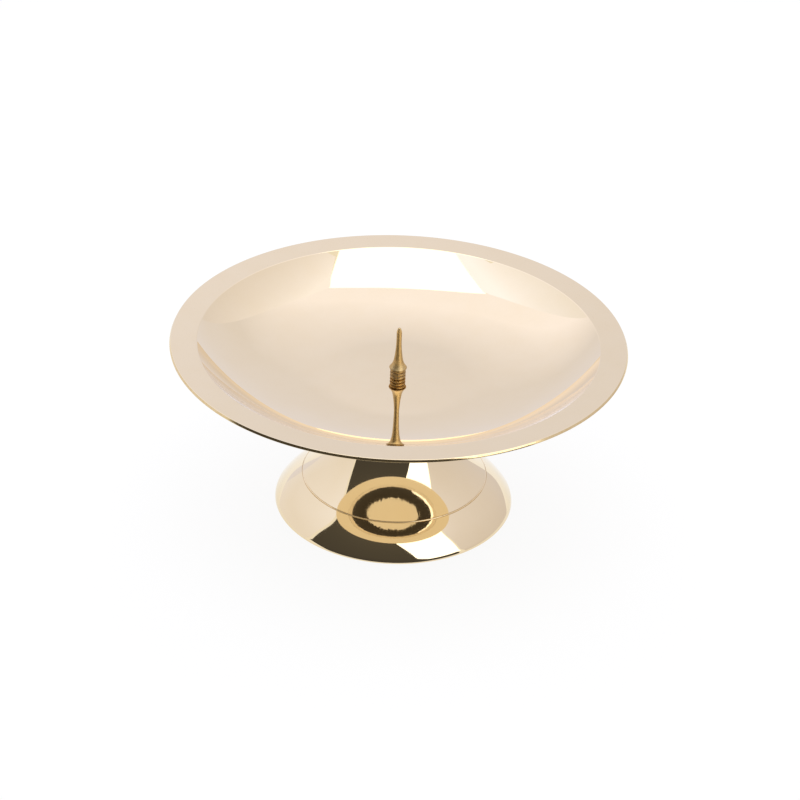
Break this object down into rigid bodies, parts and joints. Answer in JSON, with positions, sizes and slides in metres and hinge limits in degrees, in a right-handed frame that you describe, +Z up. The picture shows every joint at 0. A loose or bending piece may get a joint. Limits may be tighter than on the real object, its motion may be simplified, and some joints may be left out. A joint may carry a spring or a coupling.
{
  "type": "pricket candle stand",
  "caption": "Round polished brass drip pan with a pricket spike in its middle, on a hollow trumpet-shaped foot, to hold a pillar candle.",
  "frame": {"origin": "on the surface the stand rests on, under the middle of the pan", "axes": "+Z up along the pricket, which is the axis of the pan and the foot"},
  "size_m": [0.18, 0.18, 0.0787],
  "materials": {
    "spun_brass": "spun sheet, mirror polished",
    "turned_brass": "turned bar, fine tool marks",
    "zinc_steel": "bright zinc plated"
  },
  "bodies": {
    "root": {"drip_pan": "spun_brass", "foot": "spun_brass", "pricket": "turned_brass", "fixing_washer": "zinc_steel", "fixing_nut": "zinc_steel"}
  },
  "joints": []
}
